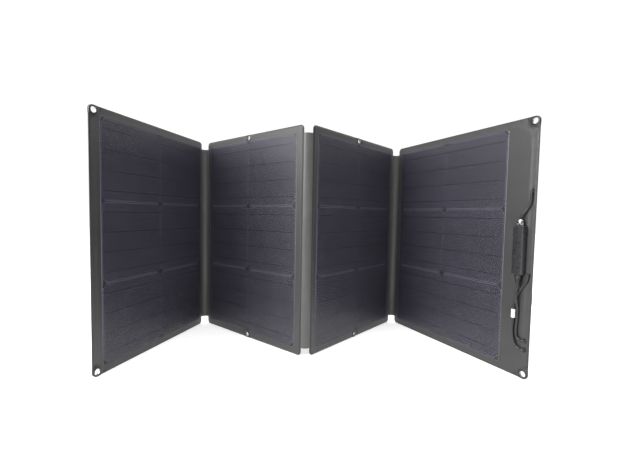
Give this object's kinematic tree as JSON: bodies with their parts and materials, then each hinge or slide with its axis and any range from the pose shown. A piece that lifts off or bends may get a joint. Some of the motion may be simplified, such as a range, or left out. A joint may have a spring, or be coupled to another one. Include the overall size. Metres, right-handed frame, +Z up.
{
  "type": "folding solar blanket",
  "caption": "Folding solar blanket of stiff framed panels joined by fabric hinges, standing in a zigzag, with eyelets and a cable strip with an inline box and leads.",
  "frame": {"origin": "on the floor, under the middle of the standing blanket without its leads", "axes": "+X along the zigzag towards the cable strip, +Y away from the side that the cells face, +Z up along the hinges"},
  "size_m": [0.8448, 0.3828, 0.508],
  "materials": {
    "rear_fabric": "woven, matte",
    "front_fabric": "coated, fine grain, satin",
    "board": "glass-filled sheet",
    "cell": "dark violet anti-reflection coat",
    "film": "clear, finely textured, satin",
    "hinge_fabric": "coated, soft sheen",
    "eyelet": "dark plated, satin",
    "housing": "fine texture",
    "gland_metal": "satin plated",
    "circuit": "solder mask",
    "lead": "smooth, slight sheen",
    "marker": "smooth white",
    "connector_plastic": "smooth moulded",
    "band": "woven elastic"
  },
  "bodies": {
    "panel_1": {"panel_1_rear_cover": "rear_fabric", "panel_1_board": "board", "panel_1_front_fabric": "front_fabric", "panel_1_cells_bottom": "cell", "panel_1_cells_middle": "cell", "panel_1_cells_top": "cell", "panel_1_film": "film", "panel_1_eyelet_top": "eyelet", "panel_1_eyelet_bottom": "eyelet"},
    "panel_2": {"panel_2_rear_cover": "rear_fabric", "panel_2_board": "board", "panel_2_front_fabric": "front_fabric", "panel_2_cells_bottom": "cell", "panel_2_cells_middle": "cell", "panel_2_cells_top": "cell", "panel_2_film": "film", "panel_2_eyelet_top": "eyelet", "panel_2_eyelet_bottom": "eyelet", "hinge_web_12": "hinge_fabric", "hinge_web_23": "hinge_fabric"},
    "panel_3": {"panel_3_rear_cover": "rear_fabric", "panel_3_board": "board", "panel_3_front_fabric": "front_fabric", "panel_3_cells_bottom": "cell", "panel_3_cells_middle": "cell", "panel_3_cells_top": "cell", "panel_3_film": "film", "panel_3_eyelet_top": "eyelet", "panel_3_eyelet_bottom": "eyelet", "hinge_web_34": "hinge_fabric"},
    "panel_4": {"panel_4_rear_cover": "rear_fabric", "panel_4_board": "board", "panel_4_front_fabric": "front_fabric", "panel_4_cells_bottom": "cell", "panel_4_cells_middle": "cell", "panel_4_cells_top": "cell", "panel_4_film": "film", "panel_4_eyelet_top": "eyelet", "panel_4_eyelet_bottom": "eyelet", "inline_box_base": "housing", "inline_box_circuit": "circuit", "inline_box_cover": "housing", "inline_gland_top": "gland_metal", "inline_gland_bottom": "connector_plastic", "junction_box_base": "housing", "junction_box_lid": "housing", "junction_terminals": "circuit", "junction_gland_a": "connector_plastic", "junction_gland_b": "connector_plastic", "lead_a_upper": "lead", "lead_a_lower": "lead", "lead_b": "lead", "lead_b_marker": "marker", "connector_a": "connector_plastic", "connector_b": "connector_plastic", "connector_band": "band"}
  },
  "joints": [
    {"name": "fold_12", "type": "hinge", "parent": "panel_2", "child": "panel_1", "pos_m": [-0.31256, 0.15289, 0.254], "axis": [0, 0, 1], "range_deg": [-113, 66.5], "deforming": ["hinge_web_12"]},
    {"name": "fold_23", "type": "hinge", "parent": "panel_2", "child": "panel_3", "pos_m": [-0.02212, -0.07648, 0.254], "axis": [0, 0, 1], "range_deg": [-87.3, 92.2], "deforming": ["hinge_web_23"]},
    {"name": "fold_34", "type": "hinge", "parent": "panel_3", "child": "panel_4", "pos_m": [0.23311, 0.19153, 0.254], "axis": [0, 0, -1], "range_deg": [-112.4, 63.1], "deforming": ["hinge_web_34"]}
  ]
}
